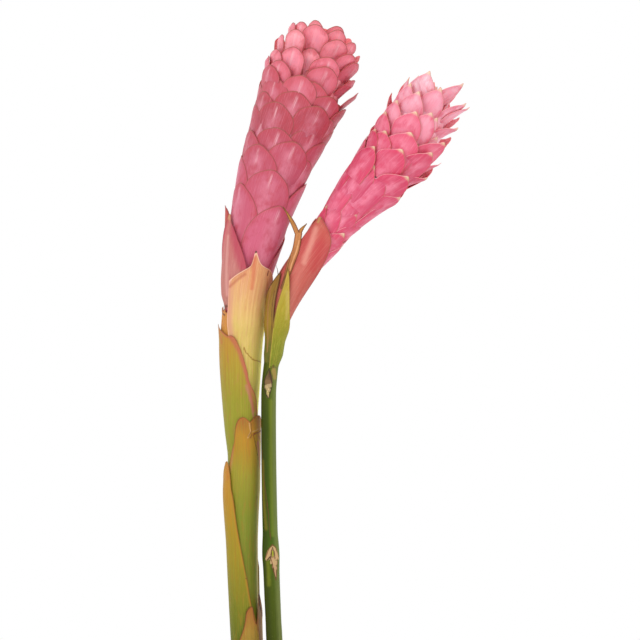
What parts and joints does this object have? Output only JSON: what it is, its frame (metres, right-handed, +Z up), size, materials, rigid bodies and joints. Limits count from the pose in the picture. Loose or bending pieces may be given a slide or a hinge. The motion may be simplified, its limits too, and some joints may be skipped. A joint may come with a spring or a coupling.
{
  "type": "potted pink ginger",
  "caption": "potted pink ginger: sheathed stems that end in long club-shaped heads of overlapping waxy pink bracts, standing in soil in a round clay pot",
  "frame": {"origin": "centre of the underside of the pot", "axes": "+Z is up along the stems, the front is -Y and +X is to the right seen from the front, where the heads lean"},
  "size_m": [0.2826, 0.208, 0.7674],
  "materials": {
    "clay": "matte",
    "soil": "matte",
    "stem_a": "satin",
    "hood": "satin",
    "stub": "satin",
    "left_sheath": "satin",
    "front_sheath": "satin",
    "lower_sheath": "satin",
    "base_sheath": "satin",
    "outer_bract": "satin",
    "rear_bract": "satin",
    "bloom_a": "satin",
    "stem_b": "satin",
    "olive_sheath": "satin",
    "yellow_sheath": "satin",
    "dry_bract": "satin",
    "lower_bract": "satin",
    "rear_bract_b": "satin",
    "bloom_b": "satin"
  },
  "bodies": {
    "root": {"pot": "clay", "soil": "soil", "stem_a": "stem_a", "sheath_a_hood": "hood", "sheath_a_stub": "stub", "sheath_a_left": "left_sheath", "sheath_a_front": "front_sheath", "sheath_a_lower": "lower_sheath", "sheath_a_base": "base_sheath", "bract_a_outer": "outer_bract", "bract_a_rear": "rear_bract", "bloom_a": "bloom_a", "stem_b": "stem_b", "sheath_b_olive": "olive_sheath", "sheath_b_yellow": "yellow_sheath", "bract_b_dry": "dry_bract", "bract_b_lower": "lower_bract", "bract_b_rear": "rear_bract_b", "bloom_b": "bloom_b"}
  },
  "joints": []
}
